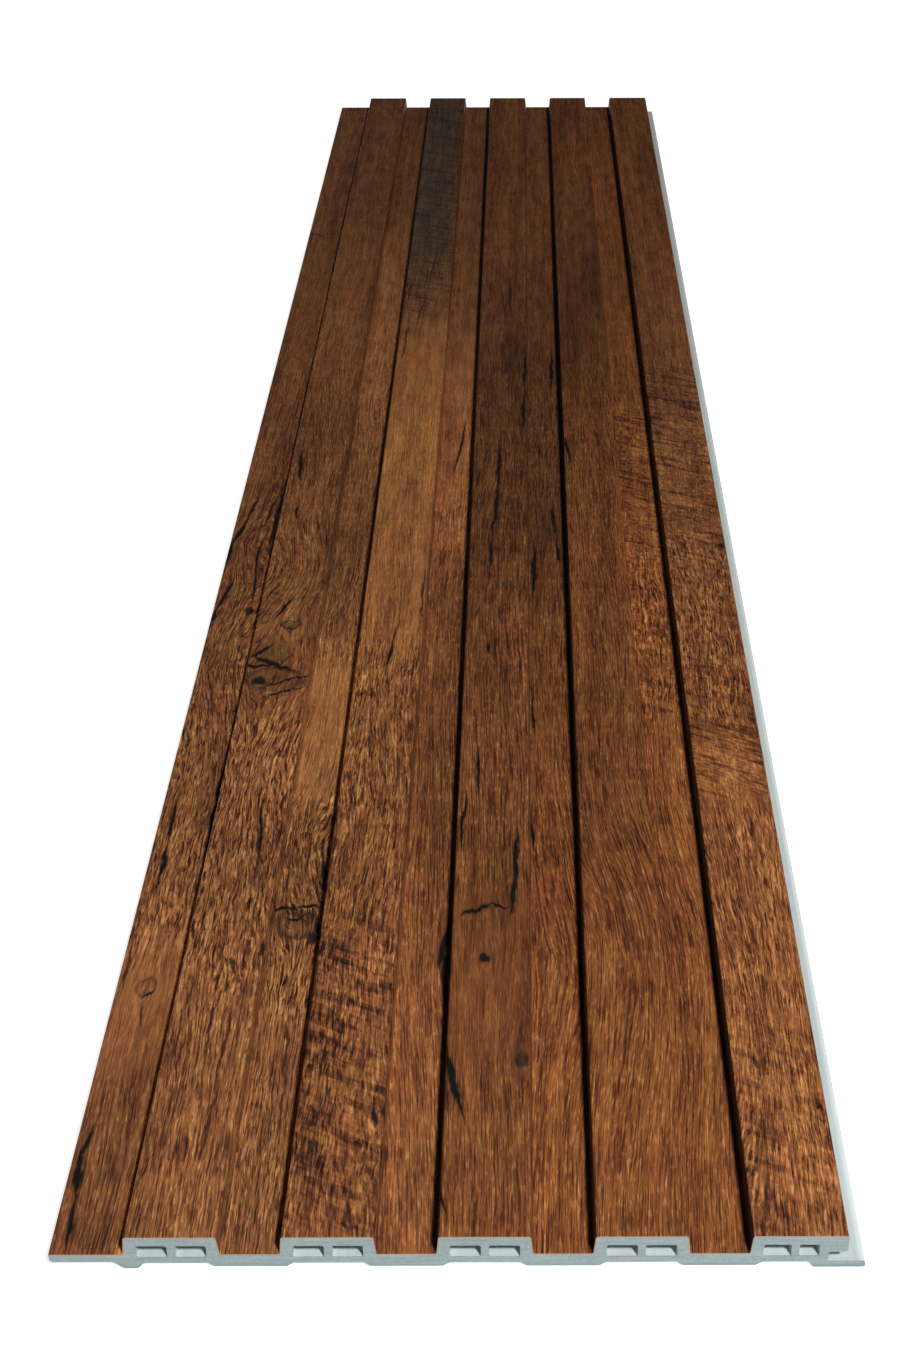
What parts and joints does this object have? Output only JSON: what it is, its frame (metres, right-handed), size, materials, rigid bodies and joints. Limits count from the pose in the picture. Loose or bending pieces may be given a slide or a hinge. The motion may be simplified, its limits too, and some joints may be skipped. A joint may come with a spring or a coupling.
{
  "type": "composite wall panel",
  "caption": "Fluted hollow-core composite wall panel lying on its back, with a tongue along one edge, a lock slot and fixing lip along the other, and a wood-print film over its ribbed face.",
  "frame": {"origin": "on the wall plane that the back bears on, under the middle of the panel", "axes": "+X across the panel from the tongue to the fixing lip, +Y along its length, +Z out of the finished face"},
  "size_m": [0.167, 0.8, 0.009],
  "materials": {
    "panel_body": "dull extruded plastic, pale blue-grey, with sawn ends",
    "woodgrain_film": "satin printed film, brown weathered oak with dark cracks and knots"
  },
  "bodies": {
    "root": {"extruded_body": "panel_body", "woodgrain_film": "woodgrain_film"}
  },
  "joints": []
}
